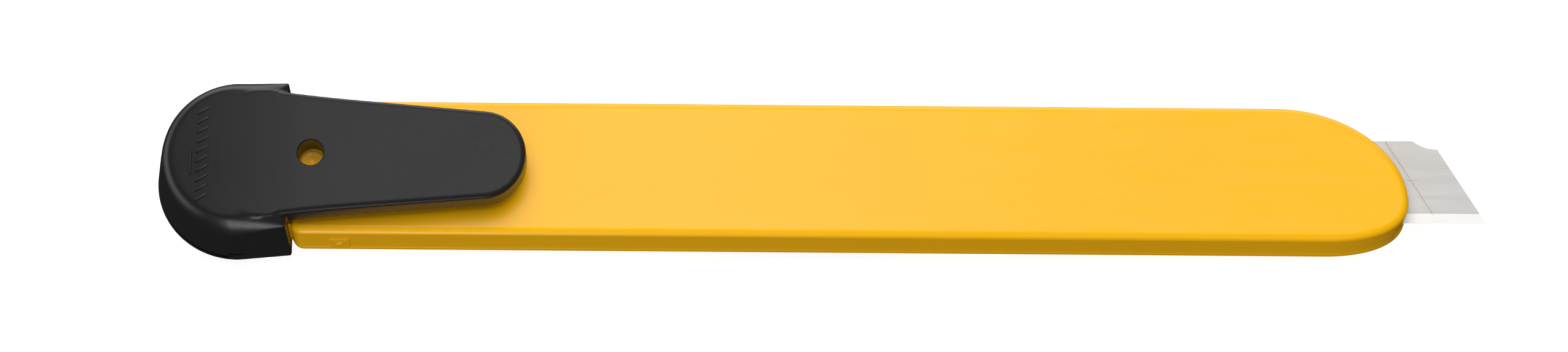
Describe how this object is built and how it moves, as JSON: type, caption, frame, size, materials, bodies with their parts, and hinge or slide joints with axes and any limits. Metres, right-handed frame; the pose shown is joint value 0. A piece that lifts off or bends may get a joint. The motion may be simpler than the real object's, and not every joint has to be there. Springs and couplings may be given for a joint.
{
  "type": "utility knife",
  "caption": "Slim pocket utility knife with a scored snap-off blade, a sliding thumb button under the handle and a pull-off end cap with pocket clip and blade-snapping slit.",
  "frame": {"origin": "bottom centre of the whole knife's bounding box, as it lies on its thumb button with the pocket clip on top", "axes": "+X along the knife from the end cap to the blade's tip, +Y across the handle towards the blade's back, so that the cutting edge is on -Y, +Z out of the handle's back face towards the pocket clip"},
  "size_m": [0.14, 0.0168, 0.0139],
  "materials": {
    "handle_plastic": "glossy moulded yellow plastic",
    "black_plastic": "satin black moulded plastic",
    "blade_steel": "fine ground steel with a brighter ground edge",
    "sheet_steel": "rolled stainless sheet"
  },
  "bodies": {
    "handle": {"back_shell": "handle_plastic", "front_cover": "handle_plastic", "blade_guide": "sheet_steel"},
    "slider": {"blade_carrier": "sheet_steel", "carrier_stud": "sheet_steel", "blade": "blade_steel", "lock_spring": "sheet_steel"},
    "button": {"thumb_button": "black_plastic", "lock_plate": "sheet_steel"},
    "cap": {"end_cap": "black_plastic"}
  },
  "joints": [
    {"name": "blade_slide", "type": "slide", "parent": "handle", "child": "slider", "axis": [1, 0, 0], "range_m": [-0.045, 0.04]},
    {"name": "button_press", "type": "slide", "parent": "slider", "child": "button", "axis": [0, 0, 1], "range_m": [0, 0.00045], "stiffness_N_per_m": 50, "springref_m": -0.001, "deforming": ["lock_spring"]},
    {"name": "cap_pull", "type": "slide", "parent": "handle", "child": "cap", "axis": [-1, 0, 0], "range_m": [0, 0.04]}
  ]
}
